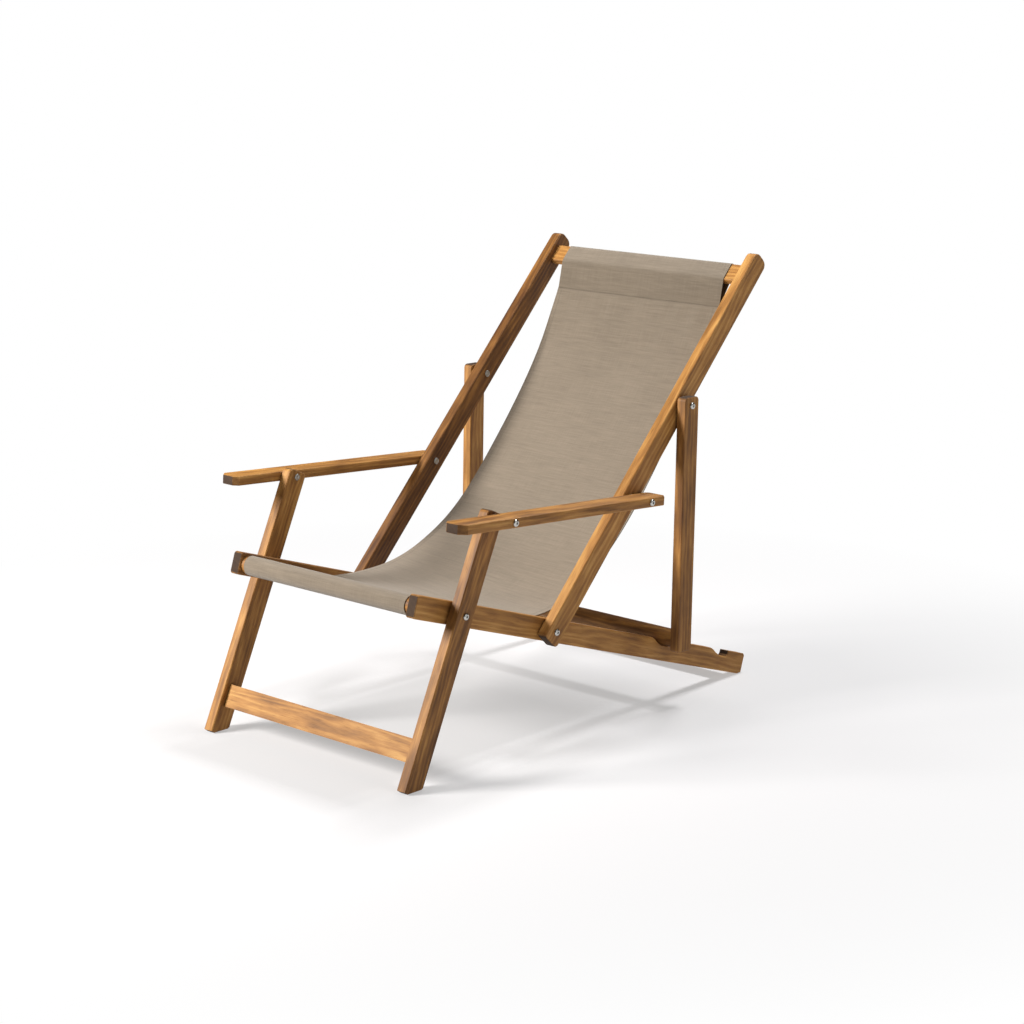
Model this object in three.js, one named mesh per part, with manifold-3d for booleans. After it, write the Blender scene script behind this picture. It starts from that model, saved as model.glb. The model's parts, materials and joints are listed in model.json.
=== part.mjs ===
// Folding deck chair with armrests: hardwood rails, a hung fabric sling and bolted pivots.
// Millimetres, +Z up, +X the sitter's left, the chair faces -Y and stands on Z = 0.
// Every frame is a group whose local Y runs along its rails and whose local Z is square to them.
import * as THREE from 'three';
import { mergeVertices } from 'three/addons/utils/BufferGeometryUtils.js';
import Module from 'manifold-3d';

const wasm = await Module();
wasm.setup();

// ---------------------------------------------------------------- driving dimensions
const STOCK_DEPTH = 45;        // seen from the side
const STOCK_THICK = 23;        // seen from the front
const HALF = STOCK_DEPTH / 2;
const GAP = 0.3;               // between pieces that touch
const ORIGIN_Y = 529.05;       // from the frame datum below to the middle of the footprint

// layers, measured outwards from the middle of the chair to each board's inner face
const SEAT_X = 232;
const BACK_X = 257.5;
const LEG_X = 260;
const ARM_X = 284.6;
const PROP_X = 285;
const ARM_WIDTH = 52;
const PROP_THICK = 22;

// seat frame: its front end, its slope down to the floor behind, and places along it
const SEAT_FRONT = [57, 342.6];
const SEAT_TILT = 18.1;
const SEAT_LENGTH = 1046;
const LEG_PIVOT_AT = 108;
const FRONT_BAR_AT = 22;
const REAR_BAR = { at: 992, below: 10, width: 44, thick: 18, tenon: 8 };
const NOTCH_AT = 757;
const SECOND_NOTCH_AT = 965;

// the linkage: seat, back, leg and armrest lie in one line when the chair is folded
const SEAT_LINK = 272;         // leg pivot to back pivot
const BACK_LINK = 318;         // back pivot to the armrest's rear pivot
const LEG_LINK = 191;          // leg pivot to the armrest's front pivot
const ARM_LINK = 399;          // between the armrest's pivots
const BACK_OPEN = 64.6;        // between the back and the seat, degrees

const BACK_LENGTH = 925;       // from the back pivot to the top end
const BACK_BELOW = 24;         // from the back pivot to the bottom end
const TOP_BAR = { at: 876.5, width: 42, thick: 16, corner: 3, tenon: 6 };
const PROP_PIVOT_AT = 550;     // along the back
const PROP_ABOVE_PIVOT = 17.5;
const PROP_BELOW_BAR = 22.5;
const LEG_ABOVE_PIVOT = 13;
const STRETCHER = { height: 46, thick: 22, z: 66 };
const ARM = { thick: 19, front: 142, rear: 47 };

const BAR_DIAMETER = 36;       // front bar, inside the sling
const CROSSBAR_DIAMETER = 38;  // lower end of the prop
const NOTCH_DEPTH = 13;
const TENON = { radius: 10, length: 14 };

const BOLT = { radius: 4, head: 7.5, headHeight: 3.6, hole: 4.3 };
const SLEEVE = { radius: 5.6, hole: 5.9, length: 12, head: 6.9, headHeight: 1.8 };
const ARM_SLACK = 9.6;         // radius of the clearance pocket in the top of each leg
const ARM_POCKET = 7;          // wood left between that pocket and the leg's inner face
const STUB = 5;                // how far the armrest nut reaches into that wood
const SLING = { width: 444, thick: 2.4, ease: 0.6, frontSeam: 66, topSeam: 71 };

// ---------------------------------------------------------------- materials
const wood = (colour) =>
  new THREE.MeshStandardMaterial({ color: colour, roughness: 0.5, metalness: 0 });
const TEAK = wood('#9c6a38');
const TEAK_DARK = wood('#845429');
const TEAK_LIGHT = wood('#ad7a45');
const STEEL = new THREE.MeshStandardMaterial({ color: '#c9cac8', roughness: 0.25, metalness: 1 });
const FABRIC = new THREE.MeshStandardMaterial({ color: '#a3917a', roughness: 0.9, metalness: 0 });

// ---------------------------------------------------------------- solids
const rad = THREE.MathUtils.degToRad;

/** A closed BufferGeometry as a Manifold. */
function solid(geometry) {
  const g = geometry.clone();
  g.deleteAttribute('normal');
  g.deleteAttribute('uv');
  const merged = mergeVertices(g, 1e-4);
  return new wasm.Manifold(new wasm.Mesh({
    numProp: 3,
    vertProperties: new Float32Array(merged.attributes.position.array),
    triVerts: new Uint32Array(merged.index.array),
  }));
}

/** A Manifold as a BufferGeometry. */
function geometryOf(manifold) {
  const mesh = manifold.getMesh();
  const g = new THREE.BufferGeometry();
  g.setAttribute('position', new THREE.BufferAttribute(mesh.vertProperties, 3));
  g.setIndex(new THREE.BufferAttribute(mesh.triVerts, 1));
  g.computeVertexNormals();
  return g;
}

/** Subtracts each cutter from a geometry. */
function cut(geometry, cutters) {
  if (!cutters.length) return geometry;
  let body = solid(geometry);
  for (const cutter of cutters) body = body.subtract(solid(cutter));
  return geometryOf(body);
}

/** A prism along X: its outline is in the frame's (Y, Z) plane, from x0 to x1, edges eased. */
function prism(outline, x0, x1, ease = 1.5) {
  const shape = new THREE.Shape(outline.map(([a, b]) => new THREE.Vector2(a, b)));
  const g = new THREE.ExtrudeGeometry(shape, {
    depth: x1 - x0 - 2 * ease,
    bevelEnabled: ease > 0,
    bevelThickness: ease,
    bevelSize: ease,
    bevelOffset: -ease,
    bevelSegments: 1,
    curveSegments: 1,
  });
  const toFrame = new THREE.Matrix4().makeBasis(
    new THREE.Vector3(0, 1, 0), new THREE.Vector3(0, 0, 1), new THREE.Vector3(1, 0, 0));
  g.applyMatrix4(toFrame);
  g.translate(x0 + ease, 0, 0);
  return g;
}

/** A cylinder along X between x0 and x1, centred at (y, z). */
function rod(radius, x0, x1, y = 0, z = 0, sides = 16) {
  const g = new THREE.CylinderGeometry(radius, radius, Math.abs(x1 - x0), sides);
  g.rotateZ(-Math.PI / 2);
  g.translate((x0 + x1) / 2, y, z);
  return g;
}

/** Points on an arc, in degrees, both ends included. */
function arc(cy, cz, radius, from, to, steps) {
  return Array.from({ length: steps + 1 }, (_, i) => {
    const a = rad(from + ((to - from) * i) / steps);
    return [cy + radius * Math.cos(a), cz + radius * Math.sin(a)];
  });
}

/** The near end of a board, cut square at s, its corners rounded. */
function nearEnd(s, half, radius) {
  const n = half - radius;
  return [...arc(s + radius, n, radius, 90, 180, 5), ...arc(s + radius, -n, radius, 180, 270, 5)];
}

/** The far end of a board, cut square at s, its corners rounded. */
function farEnd(s, half, radius) {
  const n = half - radius;
  return [...arc(s - radius, -n, radius, -90, 0, 5), ...arc(s - radius, n, radius, 0, 90, 5)];
}

/** The convex outline round a set of points, anticlockwise. */
function hull(points) {
  const sorted = [...points].sort((p, q) => p[0] - q[0] || p[1] - q[1]);
  const chain = (list) => {
    const out = [];
    for (const p of list) {
      while (out.length > 1) {
        const [[ay, az], [by, bz]] = out.slice(-2);
        if ((by - ay) * (p[1] - az) - (bz - az) * (p[0] - ay) > 1e-6) break;
        out.pop();
      }
      out.push(p);
    }
    return out.slice(0, -1);
  };
  return [...chain(sorted), ...chain(sorted.reverse())];
}

/** A bar along X with a round tenon at each end. */
function tenonedBar(radius, halfLength, y, z) {
  const reach = halfLength + TENON.length;
  const middle = solid(rod(radius, -halfLength, halfLength, y, z, 28));
  return geometryOf(middle.add(solid(rod(TENON.radius, -reach, reach, y, z, 16))));
}

/** The wider start of a bolt hole, for a sleeve nut, cut from a board's inner face. */
function sleeveHole(side, innerX, y, depth = SLEEVE.length + 1) {
  return rod(SLEEVE.hole, side * (innerX - 1), side * (innerX + depth), y, 0, 16);
}

/** The blind hole that takes a round tenon, cut from a board's inner face. */
function mortise(side, innerX, y, z, radius = TENON.radius) {
  const x = side * innerX;
  return rod(radius + GAP, x - side, x + side * (TENON.length + 1), y, z, 16);
}

// ---------------------------------------------------------------- scene
const chair = new THREE.Group();
chair.position.y = -ORIGIN_Y;

/** A frame at (y, z), its rails running at an angle in degrees above +Y. */
function frame(y, z, angle) {
  const group = new THREE.Group();
  group.position.set(0, y, z);
  group.rotation.x = rad(angle);
  chair.add(group);
  return group;
}

function piece(group, name, geometry, material) {
  const mesh = new THREE.Mesh(geometry, material);
  mesh.name = name;
  group.add(mesh);
}

const SIDES = [['left', 1], ['right', -1]];

/** A board on one side of the chair, thickness measured outwards from innerX. */
function board(side, innerX, thick, outline, cutters = [], ease = 1.5) {
  const [x0, x1] = side > 0 ? [innerX, innerX + thick] : [-innerX - thick, -innerX];
  return cut(prism(outline, x0, x1, ease), cutters);
}

/** Where a point of a frame lies in the chair's side view. */
function along([y, z], angle, s, n = 0) {
  const c = Math.cos(rad(angle)), k = Math.sin(rad(angle));
  return [y + s * c - n * k, z + s * k + n * c];
}

// pivots in the side view
const LEG_PIVOT = along(SEAT_FRONT, -SEAT_TILT, LEG_PIVOT_AT);
const BACK_PIVOT = along(SEAT_FRONT, -SEAT_TILT, LEG_PIVOT_AT + SEAT_LINK);
const BACK_ANGLE = BACK_OPEN - SEAT_TILT;
const ARM_REAR = along(BACK_PIVOT, BACK_ANGLE, BACK_LINK);
const reachY = ARM_REAR[0] - LEG_PIVOT[0], reachZ = ARM_REAR[1] - LEG_PIVOT[1];
const reach = Math.hypot(reachY, reachZ);
const LEG_ANGLE = THREE.MathUtils.radToDeg(
  Math.atan2(reachZ, reachY)
  + Math.acos((reach ** 2 + LEG_LINK ** 2 - ARM_LINK ** 2) / (2 * reach * LEG_LINK)));
const ARM_FRONT = along(LEG_PIVOT, LEG_ANGLE, LEG_LINK);
const ARM_ANGLE = THREE.MathUtils.radToDeg(
  Math.atan2(ARM_REAR[1] - ARM_FRONT[1], ARM_REAR[0] - ARM_FRONT[0]));
const PROP_PIVOT = along(BACK_PIVOT, BACK_ANGLE, PROP_PIVOT_AT);
const CROSSBAR_N = HALF - NOTCH_DEPTH + CROSSBAR_DIAMETER / 2 + GAP;
const CROSSBAR = along(SEAT_FRONT, -SEAT_TILT, NOTCH_AT, CROSSBAR_N);
const PROP_LENGTH = Math.hypot(CROSSBAR[0] - PROP_PIVOT[0], CROSSBAR[1] - PROP_PIVOT[1]);
const PROP_ANGLE = THREE.MathUtils.radToDeg(
  Math.atan2(CROSSBAR[1] - PROP_PIVOT[1], CROSSBAR[0] - PROP_PIVOT[0]));

// ---------------------------------------------------------------- seat frame
const seat = frame(...SEAT_FRONT, -SEAT_TILT);

/** The notch for the crossbar: a ramp in front, a steep wall behind. Runs from rear to front. */
function notch(at) {
  const r = CROSSBAR_DIAMETER / 2 + 2 * GAP;
  const floor = CROSSBAR_N - r;
  return [
    [at + r + 0.4, HALF], [at + r - 0.4, floor + 5], [at + r - 4, floor],
    [at - 3, floor], [at - 12, floor + 1.8], [at - 22, floor + 5.6],
    [at - 30, floor + 9.8], [at - 38, HALF - 1], [at - 43, HALF],
  ];
}

{
  const t = rad(SEAT_TILT);
  const floorAt = (n) => (SEAT_FRONT[1] + n * Math.cos(t)) / Math.sin(t);
  const floorN = (s) => (s * Math.sin(t) - SEAT_FRONT[1]) / Math.cos(t);
  const outline = [
    ...arc(6, -HALF + 6, 6, 180, 270, 3),
    [floorAt(-HALF), -HALF],
    [SEAT_LENGTH, floorN(SEAT_LENGTH)],
    ...arc(SEAT_LENGTH - 5, HALF - 5, 5, 0, 90, 3),
    ...notch(SECOND_NOTCH_AT),
    ...notch(NOTCH_AT),
    ...arc(6, HALF - 6, 6, 90, 180, 3),
  ];
  for (const [name, side] of SIDES) {
    piece(seat, `seat_rail_${name}`, board(side, SEAT_X, STOCK_THICK, outline, [
      rod(BOLT.hole, side * (SEAT_X - 1), side * (SEAT_X + 24), LEG_PIVOT_AT),
      rod(BOLT.hole, side * (SEAT_X - 1), side * (SEAT_X + 24), LEG_PIVOT_AT + SEAT_LINK),
      mortise(side, SEAT_X, FRONT_BAR_AT, 0),
      mortise(side, SEAT_X, REAR_BAR.at, -REAR_BAR.below, REAR_BAR.tenon),
    ]), TEAK);
  }
  const between = SEAT_X - GAP;
  piece(seat, 'seat_front_bar', tenonedBar(BAR_DIAMETER / 2, between, FRONT_BAR_AT, 0), TEAK_LIGHT);
  const w = REAR_BAR.width / 2, h = REAR_BAR.thick / 2;
  const slat = solid(prism([[-w, -h], [w, -h], [w, h], [-w, h]]
    .map(([a, b]) => [REAR_BAR.at + a, b - REAR_BAR.below]), -between, between, 2));
  const through = between + TENON.length;
  const tenons = rod(REAR_BAR.tenon, -through, through, REAR_BAR.at, -REAR_BAR.below, 16);
  piece(seat, 'seat_rear_bar', geometryOf(slat.add(solid(tenons))), TEAK_DARK);
}

// ---------------------------------------------------------------- back frame
const back = frame(...BACK_PIVOT, BACK_ANGLE);
{
  const outline = [...nearEnd(-BACK_BELOW, HALF, 9), ...farEnd(BACK_LENGTH, HALF, 15)];
  for (const [name, side] of SIDES) {
    const hole = (s) => rod(BOLT.hole, side * (BACK_X - 1), side * (BACK_X + 24), s);
    piece(back, `back_rail_${name}`, board(side, BACK_X, STOCK_THICK, outline, [
      hole(0), hole(BACK_LINK), hole(PROP_PIVOT_AT), mortise(side, BACK_X, TOP_BAR.at, 0, TOP_BAR.tenon),
      sleeveHole(side, BACK_X, BACK_LINK), sleeveHole(side, BACK_X, PROP_PIVOT_AT),
    ]), TEAK);
  }
  const { at, width, thick, corner, tenon } = TOP_BAR;
  const slat = prism([...nearEnd(at - width / 2, thick / 2, corner),
    ...farEnd(at + width / 2, thick / 2, corner)], GAP - BACK_X, BACK_X - GAP, 1);
  const through = BACK_X - GAP + TENON.length;
  const tenons = rod(tenon, -through, through, at, 0, 16);
  piece(back, 'back_top_bar', geometryOf(solid(slat).add(solid(tenons))), TEAK_LIGHT);
}

// ---------------------------------------------------------------- front legs
const legs = frame(...LEG_PIVOT, LEG_ANGLE);
{
  const a = rad(LEG_ANGLE);
  const floorAt = (n) => -(LEG_PIVOT[1] + n * Math.cos(a)) / Math.sin(a);
  const outline = [
    [floorAt(HALF - 9), HALF - 9],
    [floorAt(HALF) + 6, HALF],
    ...farEnd(LEG_LINK + LEG_ABOVE_PIVOT, HALF, 9).reverse(),
    [floorAt(-HALF) + 2, -HALF],
    [floorAt(-HALF + 3), -HALF + 3],
  ].reverse();
  const stretcherAt = (STRETCHER.z - LEG_PIVOT[1]) / Math.sin(a);
  const tenon = (x0, x1, ease) => prism([[-15, -5], [15, -5], [15, 5], [-15, 5]]
    .map(([s, n]) => [stretcherAt + s * (1 + ease), n * (1 + 3 * ease)]), x0, x1, 0.01);
  for (const [name, side] of SIDES) {
    const x = side * LEG_X;
    const socket = [x - side, x + side * (TENON.length + 1)].sort((p, q) => p - q);
    piece(legs, `front_leg_${name}`, board(side, LEG_X, STOCK_THICK, outline, [
      rod(BOLT.hole, x - side, x + side * 24),
      rod(ARM_SLACK, x + side * ARM_POCKET, x + side * 24, LEG_LINK, 0, 24),
      sleeveHole(side, LEG_X, LEG_LINK, STUB + 0.5),
      tenon(...socket, 0.02),
    ]), TEAK);
  }
  const between = LEG_X - GAP;
  const h = STRETCHER.height / 2, w = STRETCHER.thick / 2;
  const slat = solid(prism([[-h, -w], [h, -w], [h, w], [-h, w]]
    .map(([s, n]) => [stretcherAt + s, n]), -between, between, 2));
  const through = between + TENON.length;
  piece(legs, 'leg_stretcher', geometryOf(slat.add(solid(tenon(-through, through, 0)))), TEAK);
}

// ---------------------------------------------------------------- armrests
const arms = frame(...ARM_REAR, ARM_ANGLE);
for (const [name, side] of SIDES) {
  const front = -ARM_LINK - ARM.front;
  const w = ARM_WIDTH;
  const plan = [
    [0, front + 10], [10, front], [w - 14, front], [w, front + 14],
    [w, ARM.rear - 9], [w - 9, ARM.rear], [7, ARM.rear], [0, ARM.rear - 7],
  ].map(([x, s]) => new THREE.Vector2(side * (ARM_X + x), s));
  const ease = 2;
  const g = new THREE.ExtrudeGeometry(new THREE.Shape(plan), {
    depth: ARM.thick - 2 * ease, bevelEnabled: true, bevelThickness: ease,
    bevelSize: ease, bevelOffset: -ease, bevelSegments: 2, curveSegments: 1,
  });
  g.translate(0, 0, -ARM.thick / 2 + ease);
  const hole = (s) => rod(BOLT.hole, side * (ARM_X - 1), side * (ARM_X + w + 1), s);
  piece(arms, `armrest_${name}`, cut(g, [hole(0), hole(-ARM_LINK)]), TEAK);
}

// ---------------------------------------------------------------- prop
const prop = frame(...PROP_PIVOT, PROP_ANGLE);
{
  const half = HALF - 1;
  const outline = [
    ...nearEnd(-PROP_ABOVE_PIVOT, half, 8), ...farEnd(PROP_LENGTH + PROP_BELOW_BAR, half, 6),
  ];
  for (const [name, side] of SIDES) {
    piece(prop, `prop_leg_${name}`, board(side, PROP_X, PROP_THICK, outline, [
      rod(BOLT.hole, side * (PROP_X - 1), side * (PROP_X + 23)),
      mortise(side, PROP_X, PROP_LENGTH, 0),
    ]), TEAK);
  }
  const bar = tenonedBar(CROSSBAR_DIAMETER / 2, PROP_X - GAP, PROP_LENGTH, 0);
  piece(prop, 'prop_crossbar', bar, TEAK_DARK);
}

// ---------------------------------------------------------------- pivots
/** A solid of revolution about X, its profile given as [radius, x] pairs. */
function turned(profile, side) {
  const g = new THREE.LatheGeometry(profile.map(([r, x]) => new THREE.Vector2(r, x)), 12);
  g.rotateZ(side > 0 ? -Math.PI / 2 : Math.PI / 2);
  return g;
}

/** Button-head bolt: the head's underside at headX, the shank ends at tipX, both outwards. */
function bolt(headX, tipX, side) {
  const { radius, head, headHeight } = BOLT;
  return turned([
    [0, tipX], [radius, tipX], [radius, headX], [head, headX], [head, headX + 1],
    [head * 0.72, headX + 2.9], [2.8, headX + headHeight], [2.5, headX + 2], [0, headX + 2],
  ], side);
}

/** Cap nut over the bolt's tip: its seat at seatX, the dome towards the middle of the chair. */
function capNut(seatX, side) {
  return turned([
    [0, seatX - 9], [4, seatX - 8], [6.4, seatX - 4.6], [6.5, seatX - 1.6], [8, seatX - 1.6],
    [8, seatX], [BOLT.radius + GAP, seatX], [BOLT.radius + GAP, seatX - 5], [0, seatX - 5],
  ], side);
}

/** Sleeve nut: a low head on the face at seatX, its barrel sunk in the wood round the bolt. */
function sleeveNut(seatX, length, side) {
  const { radius, head, headHeight } = SLEEVE;
  return turned([
    [0, seatX - headHeight], [head * 0.7, seatX - headHeight + 0.1],
    [head * 0.95, seatX - headHeight + 0.7], [head, seatX - 0.4], [head, seatX],
    [radius, seatX], [radius, seatX + length], [BOLT.radius + GAP, seatX + length],
    [BOLT.radius + GAP, seatX + 0.4], [0, seatX + 0.4],
  ], side);
}

/** A ring round the bolt from x0 to x1. */
function ring(x0, x1, inner, outer, side) {
  return turned([[inner, x0], [outer, x0], [outer, x1], [inner, x1], [inner, x0]], side);
}

/** Bolt, nut and spacer at a frame's (s, 0): faces are listed from the nut to the head. */
function pivot(group, name, s, [innerFace, gapFrom, gapTo, outerFace], tip, nut) {
  for (const [label, side] of SIDES) {
    const place = new THREE.Group();
    place.position.y = s;
    group.add(place);
    piece(place, `${name}_bolt_${label}`, bolt(outerFace + GAP, tip, side), STEEL);
    piece(place, `${name}_nut_${label}`, nut(innerFace - GAP, side), STEEL);
    piece(place, `${name}_spacer_${label}`,
      ring(gapFrom + GAP, gapTo - GAP, BOLT.radius + GAP, 9, side), STEEL);
  }
}

const SEAT_OUT = SEAT_X + STOCK_THICK, BACK_OUT = BACK_X + STOCK_THICK;
const LEG_OUT = LEG_X + STOCK_THICK, ARM_OUT = ARM_X + ARM_WIDTH, PROP_OUT = PROP_X + PROP_THICK;
const sleeve = (seatX, side) => sleeveNut(seatX, SLEEVE.length, side);
const stub = (seatX, side) => sleeveNut(seatX, STUB, side);
const capTip = SEAT_X - 4.8, sleeveTip = BACK_X + 0.9, pocketTip = LEG_X + ARM_POCKET + 1;
pivot(seat, 'leg_pivot', LEG_PIVOT_AT, [SEAT_X, SEAT_OUT, LEG_X, LEG_OUT], capTip, capNut);
pivot(seat, 'back_pivot', LEG_PIVOT_AT + SEAT_LINK, [SEAT_X, SEAT_OUT, BACK_X, BACK_OUT],
  capTip, capNut);
pivot(arms, 'arm_front', -ARM_LINK, [LEG_X, LEG_OUT, ARM_X, ARM_OUT], pocketTip, stub);
pivot(arms, 'arm_rear', 0, [BACK_X, BACK_OUT, ARM_X, ARM_OUT], sleeveTip, sleeve);
pivot(back, 'prop_pivot', PROP_PIVOT_AT, [BACK_X, BACK_OUT, PROP_X, PROP_OUT],
  sleeveTip, sleeve);

// ---------------------------------------------------------------- sling
// One sheet from a sewn pocket round the front bar to another round the top bar, hanging free.
{
  const frontBar = along(SEAT_FRONT, -SEAT_TILT, FRONT_BAR_AT);
  const topBar = along(BACK_PIVOT, BACK_ANGLE, TOP_BAR.at);
  const hang = [[210, 286], [290, 268], [376, 257.5], [455, 260], [520, 277], [590, 311.5],
    [650, 351], [717, 409.5], [796, 496.5], [870, 592], [930, 683], [966, 752]];
  const seamFrom = (bar, next, distance) => {
    const d = Math.hypot(next[0] - bar[0], next[1] - bar[1]);
    return bar.map((v, i) => v + ((next[i] - v) / d) * distance);
  };
  const frontSeam = seamFrom(frontBar, [210, 283], SLING.frontSeam);
  const topSeam = seamFrom(topBar, [966, 752], SLING.topSeam);
  const inPocket = (bar, seam) => bar.map((v, i) => v + (seam[i] - v) * 0.93);
  const curve = new THREE.CatmullRomCurve3(
    [inPocket(frontBar, frontSeam), ...hang, inPocket(topBar, topSeam)]
      .map(([y, z]) => new THREE.Vector3(0, y, z)));
  const middle = curve.getSpacedPoints(36);
  const offset = (distance) => middle.map((p, i) => {
    const t = curve.getTangentAt(i / 36);
    return [p.y - t.z * distance, p.z + t.y * distance];
  });
  const half = SLING.width / 2;
  const sheet = prism([...offset(-SLING.thick / 2), ...offset(SLING.thick / 2).reverse()],
    -half, half, 0);

  /** The sling's pocket: round a bar's corners, each [y, z], and drawn in to the seam. */
  const pocket = (bar, corners, radius, seam) => {
    const round = (offset, tip) => hull([
      tip, ...corners.flatMap((c) => arc(...c, radius + offset, 0, 350, 35))]);
    const outer = solid(prism(round(SLING.ease + SLING.thick, seam), -half, half, 0));
    const shorter = bar.map((v, i) => v + (seam[i] - v) * 0.86);
    return outer.subtract(solid(prism(round(SLING.ease, shorter), -half - 1, half + 1, 0)));
  };
  const inset = [TOP_BAR.width / 2 - TOP_BAR.corner, TOP_BAR.thick / 2 - TOP_BAR.corner];
  const slatCorners = [[1, 1], [-1, 1], [-1, -1], [1, -1]].map(([a, b]) =>
    along(BACK_PIVOT, BACK_ANGLE, TOP_BAR.at + a * inset[0], b * inset[1]));
  const sewn = solid(sheet)
    .add(pocket(frontBar, [frontBar], BAR_DIAMETER / 2, frontSeam))
    .add(pocket(topBar, slatCorners, TOP_BAR.corner, topSeam));
  piece(chair, 'sling', geometryOf(sewn), FABRIC);
}

export default chair;
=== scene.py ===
"""Looks of the folding deck chair: oiled hardwood, steel pivots and a hung linen-weave sling.
Metres, +Z up, the chair faces -Y, +X is the sitter's left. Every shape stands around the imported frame."""
import json
import math
import random

import bmesh
import bpy
import numpy as np
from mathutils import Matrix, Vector
from mathutils.geometry import convex_hull_2d

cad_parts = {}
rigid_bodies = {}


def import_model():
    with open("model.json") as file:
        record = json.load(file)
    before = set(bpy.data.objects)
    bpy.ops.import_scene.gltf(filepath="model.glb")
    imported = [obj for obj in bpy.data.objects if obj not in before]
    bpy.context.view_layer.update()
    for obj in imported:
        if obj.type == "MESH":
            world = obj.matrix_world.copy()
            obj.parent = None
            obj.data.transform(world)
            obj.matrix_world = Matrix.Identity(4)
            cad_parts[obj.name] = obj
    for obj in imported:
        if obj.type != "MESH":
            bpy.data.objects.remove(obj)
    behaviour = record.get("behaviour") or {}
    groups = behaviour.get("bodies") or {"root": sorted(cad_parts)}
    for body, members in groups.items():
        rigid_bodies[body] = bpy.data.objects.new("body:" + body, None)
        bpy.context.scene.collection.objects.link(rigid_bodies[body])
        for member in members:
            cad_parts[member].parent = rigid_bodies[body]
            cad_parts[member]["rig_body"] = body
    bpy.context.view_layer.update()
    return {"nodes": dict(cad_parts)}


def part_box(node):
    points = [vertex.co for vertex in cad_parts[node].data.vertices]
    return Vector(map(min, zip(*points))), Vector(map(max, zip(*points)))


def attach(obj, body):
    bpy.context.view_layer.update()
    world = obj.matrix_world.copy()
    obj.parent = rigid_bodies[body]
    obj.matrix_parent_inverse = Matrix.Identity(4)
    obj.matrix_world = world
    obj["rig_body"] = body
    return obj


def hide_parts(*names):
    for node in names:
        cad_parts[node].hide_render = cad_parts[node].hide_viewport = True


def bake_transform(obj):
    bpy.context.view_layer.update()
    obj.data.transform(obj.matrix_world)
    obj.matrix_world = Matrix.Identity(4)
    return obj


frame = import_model()
nodes = frame["nodes"]
scene = bpy.context.scene
scene.view_settings.view_transform = "Standard"
random.seed(7)
MM = 0.001

# ---------------------------------------------------------------- camera, light and floor
camera = bpy.data.objects.new("camera", bpy.data.cameras.new("camera"))
scene.collection.objects.link(camera)
camera.location = (3.3800, -3.6155, 1.5453)
camera.rotation_euler = (math.radians(77.017), 0, math.radians(42.553))
camera.data.lens = 87.77
camera.data.sensor_width = 36
camera.data.shift_y = -0.001
camera.data.clip_end = 200
scene.camera = camera


def area_light(name, place, target, size, watts, colour=(1, 1, 1)):
    """A soft box that stands at place and faces target, size metres wide and high."""
    light = bpy.data.lights.new(name, "AREA")
    light.shape = "RECTANGLE"
    light.size, light.size_y = size
    light.energy = watts
    light.color = colour
    o = bpy.data.objects.new(name, light)
    scene.collection.objects.link(o)
    o.location = place
    o.rotation_euler = (Vector(target) - Vector(place)).to_track_quat("-Z", "Y").to_euler()


area_light("overhead", (0.05, 1.3, 3.2), (0, 0.2, 0.1), (0.75, 0.75), 106)
area_light("key", (-1.9, -2.9, 2.0), (0, 0, 0.4), (1.2, 1.2), 258, (1, 0.98, 0.95))
area_light("side", (3.3, 0.3, 1.7), (0, 0, 0.45), (2.2, 2.2), 19)


class Nodes:
    """A short way to write a shader's node tree."""

    def __init__(self, tree):
        self.tree = tree

    def add(self, kind, inputs=(), **settings):
        n = self.tree.nodes.new(kind)
        for key, value in settings.items():
            setattr(n, key, value)
        for key, value in dict(inputs).items():
            socket = n.inputs[key]
            if isinstance(value, bpy.types.NodeSocket):
                self.tree.links.new(value, socket)
            else:
                socket.default_value = value
        return n

    def math(self, operation, a, b=0.0, c=0.0):
        return self.add("ShaderNodeMath", {0: a, 1: b, 2: c}, operation=operation).outputs[0]

    def dot(self, a, b):
        return self.add("ShaderNodeVectorMath", {0: a, 1: b}, operation="DOT_PRODUCT").outputs["Value"]

    def join(self, x, y, z):
        return self.add("ShaderNodeCombineXYZ", {0: x, 1: y, 2: z}).outputs[0]

    def noise(self, vector, scale, detail=2.0, roughness=0.5):
        scaled = self.add("ShaderNodeVectorMath", {0: vector, 1: scale}, operation="MULTIPLY")
        return self.add("ShaderNodeTexNoise", {"Vector": scaled.outputs[0], "Scale": 1.0,
                        "Detail": detail, "Roughness": roughness}).outputs["Fac"]

    def mix(self, factor, a, b):
        n = self.add("ShaderNodeMix", data_type="RGBA")
        for socket, value in zip((n.inputs[0], n.inputs[6], n.inputs[7]), (factor, a, b)):
            if isinstance(value, bpy.types.NodeSocket):
                self.tree.links.new(value, socket)
            else:
                socket.default_value = value if isinstance(value, float) else (*value, 1)
        return n.outputs[2]

    def ramp(self, factor, stops):
        n = self.add("ShaderNodeValToRGB", {"Fac": factor})
        band = n.color_ramp.elements
        while len(band) < len(stops):
            band.new(0.5)
        for e, (at, colour) in zip(band, stops):
            e.position = at
            e.color = (*colour, 1)
        return n.outputs["Color"]

    def remap(self, value, a, b, c=0.0, d=1.0):
        return self.add("ShaderNodeMapRange", {0: value, 1: a, 2: b, 3: c, 4: d}).outputs[0]


def material(name):
    mat = bpy.data.materials.new(name)
    mat.use_nodes = True
    n = Nodes(mat.node_tree)
    return mat, n, mat.node_tree.nodes["Principled BSDF"]


def link(n, value, node, socket):
    n.tree.links.new(value, node.inputs[socket])


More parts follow.
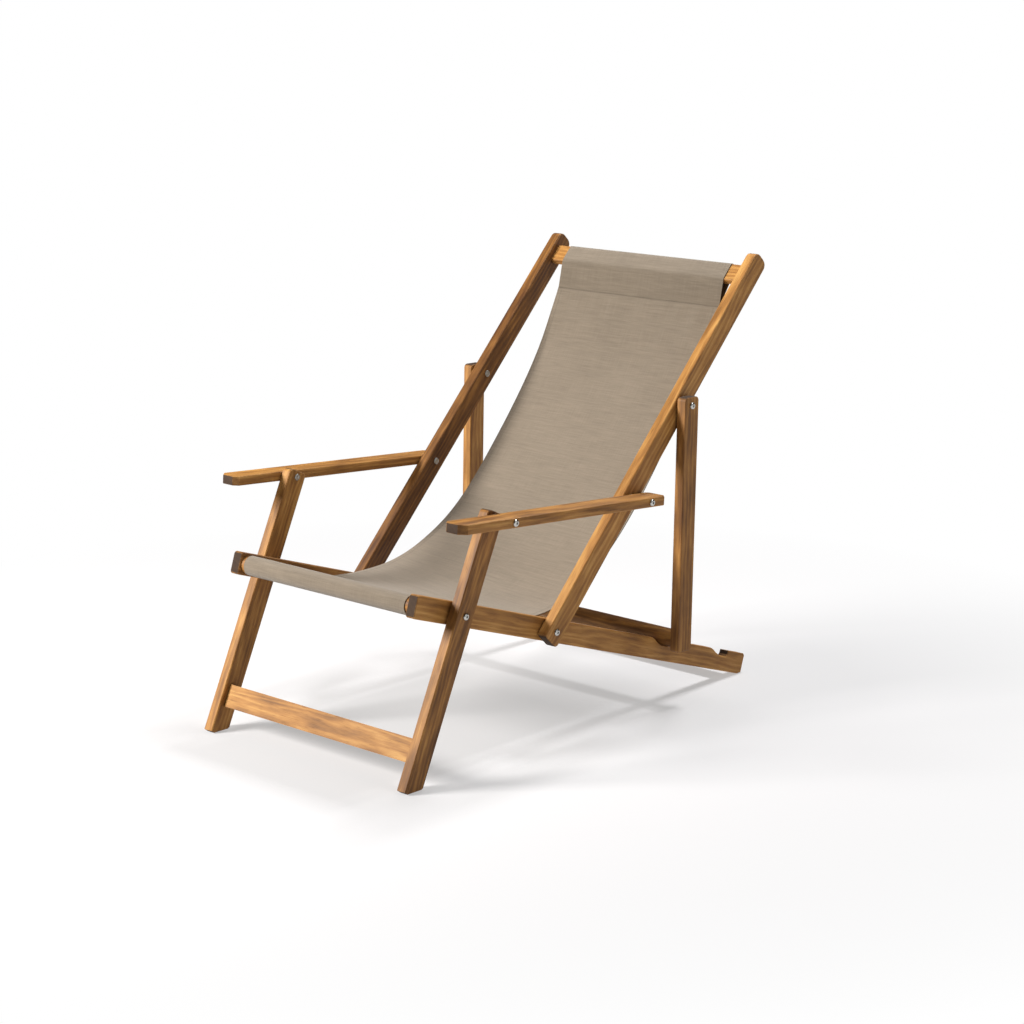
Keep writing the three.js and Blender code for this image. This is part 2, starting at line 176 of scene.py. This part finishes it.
# the sweep: white all round, and a plain matt floor under the chair that takes its shadow
SURROUND = 0.52                        # the white's strength as a light; the camera sees it at 1
GLOW = 0.42                            # how much of the floor under the chair is plain white,
GLOW_FROM, GLOW_TO = 0.8, 1.7          # which grows to all of it between these distances, m
world = bpy.data.worlds.new("studio")
scene.world = world
world.use_nodes = True
w = Nodes(world.node_tree)
background = world.node_tree.nodes["Background"]
seen = w.add("ShaderNodeLightPath").outputs["Is Camera Ray"]
link(w, w.math("MULTIPLY_ADD", seen, 1 - SURROUND, SURROUND), background, "Strength")

FLOOR = 60                             # half the floor's side, m
floor_mesh = bpy.data.meshes.new("floor")
floor_mesh.from_pydata([(-FLOOR, -FLOOR, 0), (FLOOR, -FLOOR, 0), (FLOOR, FLOOR, 0), (-FLOOR, FLOOR, 0)],
                       [], [(0, 1, 2, 3)])
floor = bpy.data.objects.new("floor", floor_mesh)
floor.location.z = -0.5 * MM
scene.collection.objects.link(floor)
floor_material, n, shader = material("floor")
shader.inputs["Base Color"].default_value = (0.66, 0.65, 0.66, 1)
shader.inputs["Roughness"].default_value = 0.9
shader.inputs["Specular IOR Level"].default_value = 0.1
spot = n.add("ShaderNodeNewGeometry").outputs["Position"]
flat = n.add("ShaderNodeVectorMath", {0: spot, 1: (1, 1, 0)}, operation="MULTIPLY").outputs[0]
away = n.add("ShaderNodeVectorMath", {0: flat}, operation="LENGTH").outputs["Value"]
white = n.add("ShaderNodeEmission", {"Color": (1, 1, 1, 1), "Strength": 1.0})
both = n.add("ShaderNodeMixShader", {0: n.remap(away, GLOW_FROM, GLOW_TO, GLOW, 1.0)})
n.tree.links.new(shader.outputs[0], both.inputs[1])
n.tree.links.new(white.outputs[0], both.inputs[2])
n.tree.links.new(both.outputs[0], floor_material.node_tree.nodes["Material Output"].inputs["Surface"])
floor.data.materials.append(floor_material)

# ---------------------------------------------------------------- wood
# the way each frame's boards run in the side view, degrees; ACROSS is along X
SEAT, BACK, LEG, ARM, PROP, ACROSS = -18.1, 46.5, 65.44, -3.96, -91.32, None
WOODEN = {  # CAD node: the way its grain runs, and how light the board is, partly its own tone and partly painted shade, set darkest on the right back rail and the seat's front bar, which stand in shade
    "seat_rail_left": (SEAT, 0.66), "seat_rail_right": (SEAT, 0.42),
    "seat_front_bar": (ACROSS, 0.45), "seat_rear_bar": (ACROSS, 0.35),
    "back_rail_left": (BACK, 0.68), "back_rail_right": (BACK, 0.10),
    "back_top_bar": (ACROSS, 0.66),
    "front_leg_left": (LEG, 0.36), "front_leg_right": (LEG, 0.62),
    "leg_stretcher": (ACROSS, 0.68),
    "armrest_left": (ARM, 0.54), "armrest_right": (ARM, 0.62),
    "prop_leg_left": (PROP, 0.46), "prop_leg_right": (PROP, 0.66),
    "prop_crossbar": (ACROSS, 0.35),
}


def wood(name, grain, tone_and_shade, seed):
    """Oiled hardwood whose grain runs along the board, with darker end grain and rubbed edges."""
    mat, n, shader = material("wood_" + name)
    place = n.add("ShaderNodeTexCoord")
    if grain is ACROSS:
        along, over, through = (1, 0, 0), (0, 1, 0), (0, 0, 1)
    else:
        c, s = math.cos(math.radians(grain)), math.sin(math.radians(grain))
        along, over, through = (0, c, s), (0, -s, c), (1, 0, 0)
    at = place.outputs["Object"]
    # the board's own directions, moved on by its seed so that no two boards show the same grain
    p = n.join(*[n.math("ADD", n.dot(at, way), seed * step)
                 for way, step in ((along, 1.37), (over, 0.31), (through, 0.17))])
    drift = n.noise(p, (3.5, 22, 22), 2.0, 0.5)
    blotch = n.noise(p, (9, 45, 45), 3.0, 0.55)
    fibre = n.noise(p, (14, 420, 420), 5.0, 0.7)
    fine = n.noise(p, (60, 1900, 1900), 3.0, 0.6)
    split = n.add("ShaderNodeSeparateXYZ", {0: p})
    # growth rings, bent by the drift
    rings = n.math("MULTIPLY_ADD", split.outputs["Y"], 520.0,
                   n.math("MULTIPLY_ADD", split.outputs["Z"], 260.0,
                          n.math("MULTIPLY", drift, 26.0)))
    band = n.math("MULTIPLY_ADD", n.math("SINE", rings), 0.5, 0.5)
    band = n.math("POWER", band, 1.6)
    pores = n.remap(n.noise(p, (38, 1150, 1150), 2.0, 0.5), 0.60, 0.72)
    # painted shade: the board's tone is set darker on boards that stand in shade
    value = n.math("ADD", n.math("MULTIPLY", band, 0.17), tone_and_shade * 0.62 - 0.18)
    value = n.math("ADD", value, n.math("MULTIPLY", fibre, 0.46))
    value = n.math("ADD", value, n.math("MULTIPLY_ADD", blotch, 0.90, -0.42))
    colour = n.ramp(value, [
        (0.0, (0.070, 0.026, 0.008)), (0.30, (0.175, 0.074, 0.018)),
        (0.58, (0.355, 0.162, 0.039)), (0.85, (0.515, 0.274, 0.080)), (1.0, (0.64, 0.39, 0.15))])
    colour = n.mix(n.math("MULTIPLY", pores, 0.55), colour, (0.06, 0.022, 0.008))
    # end grain, where a face looks along the board
    end = n.remap(n.math("ABSOLUTE", n.dot(place.outputs["Normal"], along)), 0.55, 0.9)
    colour = n.mix(n.math("MULTIPLY", end, 0.95), colour, (0.030, 0.018, 0.012))
    # edges, where the oil is rubbed thin in places
    rounded = n.add("ShaderNodeBevel", {"Radius": 1.6 * MM}, samples=4)
    straight = n.add("ShaderNodeNewGeometry")
    edge = n.remap(n.dot(rounded.outputs[0], straight.outputs["Normal"]), 0.995, 0.90)
    rub = n.math("MULTIPLY", edge, n.remap(blotch, 0.40, 0.62, 0.0, 0.34))
    colour = n.mix(rub, colour, (0.52, 0.27, 0.11))
    link(n, colour, shader, "Base Color")
    gloss = n.math("MULTIPLY_ADD", fibre, 0.16, n.math("MULTIPLY_ADD", pores, 0.12, 0.46))
    link(n, n.math("MULTIPLY_ADD", end, 0.25, gloss), shader, "Roughness")
    shader.inputs["Specular IOR Level"].default_value = 0.24
    height = n.math("ADD", n.math("MULTIPLY", fibre, 0.5),
                    n.math("SUBTRACT", n.math("MULTIPLY", fine, 0.35), n.math("MULTIPLY", pores, 0.8)))
    bump = n.add("ShaderNodeBump", {"Strength": 0.35, "Distance": 0.25 * MM, "Height": height})
    link(n, bump.outputs[0], shader, "Normal")
    return mat


def ease_edges(o):
    """Rounds a CAD board's edges for the light, without touching its own vertices."""
    me = o.data
    me.polygons.foreach_set("use_smooth", [True] * len(me.polygons))
    if "custom_normal" in me.attributes:
        me.attributes.remove(me.attributes["custom_normal"])
    weld = o.modifiers.new("weld", "WELD")
    weld.merge_threshold = 0.01 * MM
    flatten = o.modifiers.new("flatten", "DECIMATE")
    flatten.decimate_type = "DISSOLVE"
    flatten.angle_limit = math.radians(0.5)
    bevel = o.modifiers.new("ease", "BEVEL")
    bevel.width = 0.7 * MM
    bevel.segments = 2
    bevel.limit_method = "ANGLE"
    bevel.angle_limit = math.radians(28)
    bevel.harden_normals = True


for number, (name, (grain, tone_and_shade)) in enumerate(WOODEN.items()):
    o = nodes[name]
    o.data.materials.clear()
    o.data.materials.append(wood(name, grain, tone_and_shade, number + 1))
    ease_edges(o)


# ---------------------------------------------------------------- steel
def steel(name, roughness, tint):
    mat, n, shader = material(name)
    at = n.add("ShaderNodeTexCoord").outputs["Object"]
    smudge = n.noise(at, (160, 160, 160), 3.0, 0.6)
    link(n, n.ramp(smudge, [(0.25, tuple(v * 0.86 for v in tint)), (0.75, tint)]), shader, "Base Color")
    link(n, n.math("MULTIPLY_ADD", smudge, 0.18, roughness), shader, "Roughness")
    shader.inputs["Metallic"].default_value = 1
    scratch = n.noise(at, (40, 2600, 2600), 2.0, 0.5)
    bump = n.add("ShaderNodeBump", {"Strength": 0.12, "Distance": 0.05 * MM, "Height": scratch})
    link(n, bump.outputs[0], shader, "Normal")
    return mat


POLISHED = steel("polished_steel", 0.20, (0.56, 0.55, 0.52))
TURNED = steel("turned_steel", 0.28, (0.42, 0.41, 0.39))
SIDES = 36                             # of a turned piece's circle
FINER = {"_bolt": "_button_bolt", "_nut": "_steel_nut", "_spacer": "_steel_spacer"}


def lathe(name, profile, centre, side, mat, hexagons=()):
    """Solid of revolution about X: (radius, x) rows, x outwards; the rows in hexagons are six-sided."""
    mesh = bpy.data.meshes.new(name)
    b = bmesh.new()
    cy, cz = centre
    rings = []
    for row, (r, x) in enumerate(profile):
        if r == 0:
            rings.append([b.verts.new((side * x, cy, cz))])
            continue
        ring = []
        for i in range(SIDES):
            a = 2 * math.pi * i / SIDES
            turn = (a % (math.pi / 3)) - math.pi / 6
            reach = r / math.cos(turn) * math.cos(math.pi / 6) if row in hexagons else r
            ring.append(b.verts.new((side * x, cy + reach * math.cos(a), cz + reach * math.sin(a))))
        rings.append(ring)
    pairs = list(zip(rings, rings[1:]))
    if len(rings[0]) > 1:
        pairs.append((rings[-1], rings[0]))
    for p, q in pairs:
        for i in range(SIDES):
            j = (i + 1) % SIDES
            corners = [p[i % len(p)], p[j % len(p)], q[j % len(q)], q[i % len(q)]]
            b.faces.new(list(dict.fromkeys(corners)))
    bmesh.ops.recalc_face_normals(b, faces=b.faces)
    b.to_mesh(mesh)
    b.free()
    mesh.polygons.foreach_set("use_smooth", [True] * len(mesh.polygons))
    mesh.set_sharp_from_angle(angle=math.radians(34))
    mesh.materials.append(mat)
    o = bpy.data.objects.new(name, mesh)
    scene.collection.objects.link(o)
    return o


def stand_for(node, profile, mat, hexagons=()):
    """A finer turned piece in the place of one CAD node, riding on the same body."""
    low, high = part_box(node)
    side = 1 if low[0] > 0 else -1
    tip, out = sorted((abs(low[0]), abs(high[0])))
    centre = ((low[1] + high[1]) / 2, (low[2] + high[2]) / 2)
    rows = [(r * MM, tip + x * MM) for r, x in profile((out - tip) / MM)]
    name = node
    for plain, fine in FINER.items():
        name = name.replace(plain, fine)
    o = lathe(name, rows, centre, side, mat, hexagons)
    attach(o, nodes[node]["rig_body"])
    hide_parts(node)


# Profiles, mm: (radius, distance from the piece's inner end), for a piece that is long mm in all.
def bolt_rows(long):
    """Shank from the inner end, a domed head at the outer end, and its hexagon socket."""
    head = [(4, -3.6), (6.7, -3.6), (7.0, -3.2), (6.95, -2.6), (6.6, -1.7), (5.8, -0.9), (4.8, -0.35),
            (3.5, -0.06), (3.0, -0.001), (2.75, -0.12), (2.6, -2.0), (0, -2.1)]
    return [(0, 0), (3.4, 0), (4, 0.7), *[(r, long + x) for r, x in head]]


def cap_rows(_):
    """Cap nut of one size: a dome, six flats, a flange, and the bore that the bolt fills."""
    return [(0, 0), (2.2, 0.25), (4.0, 1.0), (5.4, 2.3), (6.1, 3.8), (6.3, 4.3), (6.9, 4.6), (6.9, 7.3),
            (7.7, 7.4), (8.0, 7.7), (8.0, 9.0), (4.3, 9.0), (4.3, 4.0), (0, 4.0)]


def sleeve_rows(long):
    """Sleeve nut: a low head with a plain dished face, and a barrel sunk in the wood."""
    return [(0, 0.35), (2.4, 0.3), (3.0, 0.05), (3.6, 0.0), (5.2, 0.12), (6.3, 0.55), (6.9, 1.2),
            (6.9, 1.8), (5.6, 1.8), (5.6, long), (4.3, long), (4.3, 2.2), (0, 2.2)]


def ring_rows(long):
    """Spacer: a ring with its outer edges eased."""
    ease = min(0.3, long / 4)
    return [(4.3, 0), (8.6, 0), (9.0, ease), (9.0, long - ease), (8.6, long), (4.3, long)]


SOCKET, FLATS = (12, 13), (6, 7)       # the six-sided rows of a bolt's and a cap nut's profile
for name in nodes:
    if "_bolt_" in name:
        stand_for(name, bolt_rows, POLISHED, SOCKET)
    elif "_nut_" in name and name.startswith(("leg_pivot", "back_pivot")):
        stand_for(name, cap_rows, TURNED, FLATS)
    elif "_nut_" in name:
        stand_for(name, sleeve_rows, TURNED)
    elif "_spacer_" in name:
        stand_for(name, ring_rows, TURNED)

# ---------------------------------------------------------------- sling
DATUM = 529.05                         # mm from the frames' datum to the middle of the footprint
FRONT_BAR, TOP_BAR = (77.91, 335.77), (1021.54, 860.34)   # (y, z) of each bar's centre, mm
SLAT = (42.0, 16.0, 3.0)               # the top bar: its width along the rails, thickness, corner radius
HANG = [(210, 286), (290, 268), (376, 257.5), (455, 260), (520, 277), (590, 311.5), (650, 351),
        (717, 409.5), (796, 496.5), (870, 592), (930, 683), (966, 752)]
HALF_WIDTH = 222.0
CLOTH = 1.2                            # thickness
ROUND = 18.0                           # radius of the front bar
SLACK = 1.4                            # from a bar's surface to the middle of the cloth round it
FRONT_SEAM, TOP_SEAM = 66.0, 71.0      # from each bar's centre to its pocket's stitching
TUCK = 9.0                             # the turned edge past the stitching
HEM = 14.0                             # side hem
STITCH_IN = 3.0                        # from a pocket's seam line to its row of stitches
SIDE_STITCH = HALF_WIDTH - HEM + 2     # from the middle of the cloth to a side hem's stitches
SIDE_DROP = 13.5                       # the left edge hangs this far under the plain curve, the right over it
TURN = 6.28                            # one turn of a fold's wave
ROW = 4.5                              # between the mesh's rows along the cloth
THREAD, PITCH = 0.36, 4.4              # a stitch's radius, and from one stitch to the next
# one stitch from end to end: (distance along it, share of its radius, height over the cloth)
STITCH = [(-1.6, 0, -0.25), (-1.25, 0.8, 0.0), (0, 1, 0.16), (1.25, 0.8, 0.0), (1.6, 0, -0.25)]


def unit(v):
    """v made one long."""
    return v / np.linalg.norm(v)


def spline(points, step):
    """Catmull-Rom through the points, centripetal, sampled about every step mm."""
    pts = np.array(points, float)
    pts = np.vstack([2 * pts[0] - pts[1], pts, 2 * pts[-1] - pts[-2]])
    out = []
    for p0, p1, p2, p3 in zip(pts, pts[1:], pts[2:], pts[3:]):
        t = np.cumsum([0] + [np.linalg.norm(b - a) ** 0.5 for a, b in ((p0, p1), (p1, p2), (p2, p3))])
        count = max(2, int(np.linalg.norm(p2 - p1) / step))
        for u in np.linspace(t[1], t[2], count, endpoint=False):
            a1 = (t[1] - u) / (t[1] - t[0]) * p0 + (u - t[0]) / (t[1] - t[0]) * p1
            a2 = (t[2] - u) / (t[2] - t[1]) * p1 + (u - t[1]) / (t[2] - t[1]) * p2
            a3 = (t[3] - u) / (t[3] - t[2]) * p2 + (u - t[2]) / (t[3] - t[2]) * p3
            b1 = (t[2] - u) / (t[2] - t[0]) * a1 + (u - t[0]) / (t[2] - t[0]) * a2
            b2 = (t[3] - u) / (t[3] - t[1]) * a2 + (u - t[1]) / (t[3] - t[1]) * a3
            out.append((t[2] - u) / (t[2] - t[1]) * b1 + (u - t[1]) / (t[2] - t[1]) * b2)
    return np.array(out + [pts[-2]])


def pocket(bar, corners, radius, towards, seam_at, sitter):
    """The cloth's loop round a bar: where its seam is, the way from the bar to it, and the points from
    there round the bar, the side towards the sitter first, back to just under the cloth."""
    bar, towards = np.array(bar), np.array(towards)
    e = unit(towards - bar)
    up = np.array((-e[1], e[0]))
    up = up if up @ sitter > 0 else -up
    seam = bar + e * seam_at
    ring = [seam]
    for c in corners:
        ring += [c + (radius + SLACK) * np.array((math.cos(a), math.sin(a)))
                 for a in np.linspace(0, 2 * math.pi, 60, endpoint=False)]
    order = convex_hull_2d([tuple(p) for p in ring])
    order = order[order.index(0) + 1:] + order[:order.index(0)]
    loop = [ring[i] for i in order]
    if (loop[0] - seam) @ up < (loop[-1] - seam) @ up:
        loop.reverse()
    under = seam - up * (CLOTH + 0.15)
    pulled = [*np.linspace(seam, loop[0], 12)[1:-1], *loop, *np.linspace(loop[-1], under, 12)[1:]]
    return seam, e, pulled


def slat_corners():
    """Where the top bar's rounded corners are centred."""
    c, k = math.cos(math.radians(BACK)), math.sin(math.radians(BACK))
    a, b = SLAT[0] / 2 - SLAT[2], SLAT[1] / 2 - SLAT[2]
    return [np.array(TOP_BAR) + a * i * np.array((c, k)) + b * j * np.array((-k, c))
            for i, j in ((1, 1), (-1, 1), (-1, -1), (1, -1))]


front_seam, front_way, front_loop = pocket(
    FRONT_BAR, [np.array(FRONT_BAR)], ROUND, (210, 283), FRONT_SEAM, (0, 1))
top_seam, top_way, top_loop = pocket(TOP_BAR, slat_corners(), SLAT[2], HANG[-1], TOP_SEAM, (-1, 1))
middle = spline([front_seam, *HANG, top_seam], ROW)
tuck_front = [front_loop[-1] + front_way * t for t in (3, 6, TUCK)]
tuck_top = [top_loop[-1] + top_way * t for t in (3, 6, TUCK)]
path = np.vstack([tuck_front[::-1], front_loop[::-1], middle, top_loop, tuck_top])


def evenly(points, step):
    """Distances along the path about every step mm, the points there, softened where the cloth can't
    crease sharply, and the distances of the points that were given."""
    s = np.r_[0, np.cumsum(np.linalg.norm(np.diff(points, axis=0), axis=1))]
    at = np.linspace(0, s[-1], int(s[-1] / step) + 1)
    p = np.c_[np.interp(at, s, points[:, 0]), np.interp(at, s, points[:, 1])]
    for _ in range(3):
        p[1:-1] = (p[:-2] + 2 * p[1:-1] + p[2:]) / 4
    return at, p, s


PATH_STEP = 1.5
path_s, path_p, raw_s = evenly(path, PATH_STEP)
FRONT_SEAM_S = raw_s[len(tuck_front) + len(front_loop)]
TOP_SEAM_S = raw_s[len(tuck_front) + len(front_loop) + len(middle) - 1]
FRONT_STITCH_S, TOP_STITCH_S = FRONT_SEAM_S + STITCH_IN, TOP_SEAM_S - STITCH_IN
LENGTH = path_s[-1]
LOWEST_S = FRONT_SEAM_S + 345          # where the left edge hangs furthest below the plain curve


def on_path(s):
    """(y, z) of the cloth's middle, its normal towards the sitter and its direction, s mm along it."""
    a, p, b = [np.array([np.interp(at, path_s, path_p[:, k]) for k in (0, 1)])
               for at in (s - PATH_STEP, s, s + PATH_STEP)]
    t = unit(b - a)
    return p, np.array((-t[1], t[0])), t


# small folds at the pockets: waves per mm across and along the cloth, and where each wave starts
WAVES = [(random.uniform(0.012, 0.034), random.uniform(-0.004, 0.004), random.uniform(0, TURN))
         for _ in range(5)]


def bell(x, width):
    """1 at x = 0, falling away over about width on both sides."""
    return math.exp(-(x / width) ** 2)


def lift(x, s):
    """How far the free cloth stands off its plain curve, towards the sitter, mm."""
    inside = min(s - FRONT_SEAM_S, TOP_SEAM_S - s)
    if inside < 0:
        return 0.0
    held = min(1.0, inside / 60)
    ease = held ** 2 * (3 - 2 * held)
    near_top = bell(TOP_SEAM_S - s - 40, 70) * min(1, inside / 14)
    near_front = bell(s - FRONT_SEAM_S - 30, 60) * min(1, inside / 14)
    folds = sum(math.sin(x * k * TURN + s * d * TURN + p) for k, d, p in WAVES) / len(WAVES)
    # the middle sags, the whole is a little uneven, the hems wave, and one side hangs lower
    sag = -2.2 * ease * (1 - (x / HALF_WIDTH) ** 2)
    slack = 1.1 * ease * math.sin(x * 0.011 + 0.6) * math.sin(s * 0.0105 + 0.8)
    curl = 1.6 * ease * bell(HALF_WIDTH - abs(x), 26) * math.sin(s * 0.013 + (1.1 if x > 0 else 2.6))
    tilt = -SIDE_DROP * bell(s - LOWEST_S, 170) * ease * math.sin(math.pi * x / HALF_WIDTH / 2)
    return sag + slack + curl + tilt + 1.5 * folds * near_top + 0.9 * folds * near_front


def on_cloth(x, s, face):
    """A point on the cloth's face (+1 towards the sitter, -1 behind), mm, with the normal and
    direction there."""
    p, normal, t = on_path(s)
    inside = min(s - FRONT_SEAM_S, TOP_SEAM_S - s)
    dent = 0.30 * (bell(s - FRONT_STITCH_S, 1.4) + bell(TOP_STITCH_S - s, 1.4))
    dent += 0.16 * bell(SIDE_STITCH - abs(x), 1.3) if inside > 0 else 0.0
    thick = CLOTH / 2 - (dent if face > 0 else dent * 0.4)
    if face < 0 and inside > TUCK + 4:
        thick += 0.9 * min(1.0, max(0.0, (abs(x) - HALF_WIDTH + HEM) / 0.6))
    q = p + normal * (lift(x, s) + face * thick)
    return np.array((x, q[0] - DATUM, q[1])), normal, t


def columns(edge, coarse):
    """Places across half the cloth: coarse in the middle, closer round the hem's fold and stitches."""
    fold = edge - HEM
    return sorted({round(v, 3) for v in [0, *np.arange(coarse / 2, fold - 4, coarse),
                                         fold - 1.6, fold, fold + 0.7, fold + 2, fold + 3.4,
                                         edge - HEM / 2, edge - 2, edge - 0.5, edge]})


across = columns(HALF_WIDTH, 9)
across = [-x for x in across[:0:-1]] + across
rows = set(np.arange(0, LENGTH, ROW)) | {LENGTH}
for stitch_s in (FRONT_STITCH_S, TOP_STITCH_S):
    rows |= {stitch_s + d for d in (-2.6, -1.3, 0, 1.3, 2.6)}
rows = sorted(rows)
rows = [s for i, s in enumerate(rows) if i == 0 or s - rows[i - 1] > 0.5]

b = bmesh.new()
uv = b.loops.layers.uv.new("cloth")
grid, where = {}, {}
for face in (1, -1):
    for j, s in enumerate(rows):
        for i, x in enumerate(across):
            v = b.verts.new(on_cloth(x, s, face)[0] * MM)
            grid[face, j, i] = v
            where[v] = (x * MM, s * MM)
last_row, last_col = len(rows) - 1, len(across) - 1
for j in range(last_row):
    for i in range(last_col):
        for face in (1, -1):
            quad = [grid[face, j, i], grid[face, j, i + 1], grid[face, j + 1, i + 1], grid[face, j + 1, i]]
            b.faces.new(quad if face > 0 else quad[::-1])
    for i in (0, last_col):
        b.faces.new([grid[1, j, i], grid[1, j + 1, i], grid[-1, j + 1, i], grid[-1, j, i]])
for i in range(last_col):
    for j in (0, last_row):
        b.faces.new([grid[1, j, i], grid[1, j, i + 1], grid[-1, j, i + 1], grid[-1, j, i]])
bmesh.ops.recalc_face_normals(b, faces=b.faces)
for f in b.faces:
    f.smooth = True
    for loop in f.loops:
        loop[uv].uv = where[loop.vert]
mesh = bpy.data.meshes.new("sling_cloth")
b.to_mesh(mesh)
b.free()
mesh.set_sharp_from_angle(angle=math.radians(60))
sling = bpy.data.objects.new("sling_cloth", mesh)
scene.collection.objects.link(sling)


def stitches(lines):
    """One mesh of short threads lying along each line of (x, s, face, direction) places."""
    verts, faces = [], []
    for x, s, face, way in lines:
        p, normal, t = on_cloth(x, s, face)
        n3 = np.array((0, normal[0], normal[1])) * face
        d3 = np.array((1.0, 0, 0)) if way == "across" else np.array((0, t[0], t[1]))
        side = np.cross(n3, d3)
        first = len(verts)
        for a, r, up in STITCH:
            for k in range(6 if r else 1):
                c, q = math.cos(math.pi * k / 3), math.sin(math.pi * k / 3)
                verts.append((p + d3 * a + n3 * (up + THREAD * r * c) + side * THREAD * r * q) * MM)
        rings = [[first], *[[first + 1 + 6 * m + k for k in range(6)] for m in range(3)], [first + 19]]
        for u, v in zip(rings, rings[1:]):
            for k in range(6):
                j = (k + 1) % 6
                corners = [u[k % len(u)], u[j % len(u)], v[j % len(v)], v[k % len(v)]]
                faces.append(list(dict.fromkeys(corners)))
    mesh = bpy.data.meshes.new("sling_stitching")
    mesh.from_pydata([tuple(v) for v in verts], [], faces)
    bm = bmesh.new()
    bm.from_mesh(mesh)
    bmesh.ops.recalc_face_normals(bm, faces=bm.faces)
    bm.to_mesh(mesh)
    bm.free()
    mesh.polygons.foreach_set("use_smooth", [True] * len(mesh.polygons))
    o = bpy.data.objects.new("sling_stitching", mesh)
    scene.collection.objects.link(o)
    return o


sewn = []
for s in (FRONT_STITCH_S, TOP_STITCH_S):
    for x in np.arange(-HALF_WIDTH + 4, HALF_WIDTH - 3, PITCH):
        sewn.append((x, s, 1, "across"))
for side in (-1, 1):
    for s in np.arange(FRONT_SEAM_S + 10, TOP_SEAM_S - 8, PITCH):
        for face in (1, -1):
            sewn.append((side * SIDE_STITCH, s, face, "along"))
stitching = stitches(sewn)


WARP, WEFT = 0.00095, 0.00085          # from one thread to the next across and along the cloth, m


def linen(name, light, dark):
    """Plain-woven cloth with slubs along the weft, in metres of cloth from its UV map."""
    mat, n, shader = material(name)
    cloth = n.add("ShaderNodeUVMap", uv_map="cloth").outputs[0]
    split = n.add("ShaderNodeSeparateXYZ", {0: cloth})
    u, v = split.outputs["X"], split.outputs["Y"]
    warp = n.math("SINE", n.math("MULTIPLY", u, 2 * math.pi / WARP))
    weft = n.math("SINE", n.math("MULTIPLY", v, 2 * math.pi / WEFT))
    weave = n.math("MULTIPLY", warp, weft)
    slub = n.noise(cloth, (22, 560, 1), 4.0, 0.62)
    long_slub = n.noise(cloth, (9, 170, 1), 3.0, 0.6)
    ends = n.noise(cloth, (620, 16, 1), 3.0, 0.6)
    cloud = n.noise(cloth, (7, 7, 1), 3.0, 0.5)
    value = n.math("ADD", n.math("MULTIPLY", slub, 0.55), n.math("MULTIPLY", long_slub, 0.35))
    value = n.math("ADD", value, n.math("MULTIPLY", ends, 0.28))
    value = n.math("ADD", value, n.math("MULTIPLY_ADD", cloud, 0.16, -0.18))
    value = n.math("MULTIPLY_ADD", weave, 0.05, value)
    # painted shade in the creases along the stitches, and darker past each pocket's stitching, round the bars
    seams = n.math("MULTIPLY",
                   n.math("ABSOLUTE", n.math("SUBTRACT", v, FRONT_STITCH_S * MM)),
                   n.math("ABSOLUTE", n.math("SUBTRACT", v, TOP_STITCH_S * MM)))
    # painted shade: a dark band along each pocket's row of stitches
    crease = n.remap(seams, 0.0, 0.0026, 0.26, 0.0)
    value = n.math("SUBTRACT", value, crease)
    darker_round_bars = n.math("MAXIMUM", n.remap(v, TOP_STITCH_S * MM, (TOP_STITCH_S + 2) * MM, 0.0, 0.10),
                    n.remap(v, FRONT_STITCH_S * MM, (FRONT_STITCH_S - 2) * MM, 0.0, 0.04))
    value = n.math("SUBTRACT", value, darker_round_bars)
    link(n, n.ramp(value, [(0.10, dark), (0.80, light)]), shader, "Base Color")
    shader.inputs["Roughness"].default_value = 0.86
    shader.inputs["Specular IOR Level"].default_value = 0.22
    shader.inputs["Sheen Weight"].default_value = 0.18
    shader.inputs["Sheen Roughness"].default_value = 0.5
    height = n.math("ADD", n.math("MULTIPLY", weave, 0.5), n.math("MULTIPLY", slub, 1.3))
    bump = n.add("ShaderNodeBump", {"Strength": 0.5, "Distance": 0.16 * MM, "Height": height})
    link(n, bump.outputs[0], shader, "Normal")
    return mat


def thread():
    mat, n, shader = material("thread")
    at = n.add("ShaderNodeTexCoord").outputs["Object"]
    twist = n.noise(at, (1500, 1500, 1500), 2.0, 0.5)
    link(n, n.ramp(twist, [(0.3, (0.085, 0.068, 0.052)), (0.7, (0.16, 0.13, 0.10))]), shader, "Base Color")
    shader.inputs["Roughness"].default_value = 0.7
    return mat


sling.data.materials.append(linen("linen_weave", (0.256, 0.206, 0.152), (0.108, 0.085, 0.060)))
stitching.data.materials.append(thread())
for o in (sling, stitching):
    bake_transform(o)
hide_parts("sling")
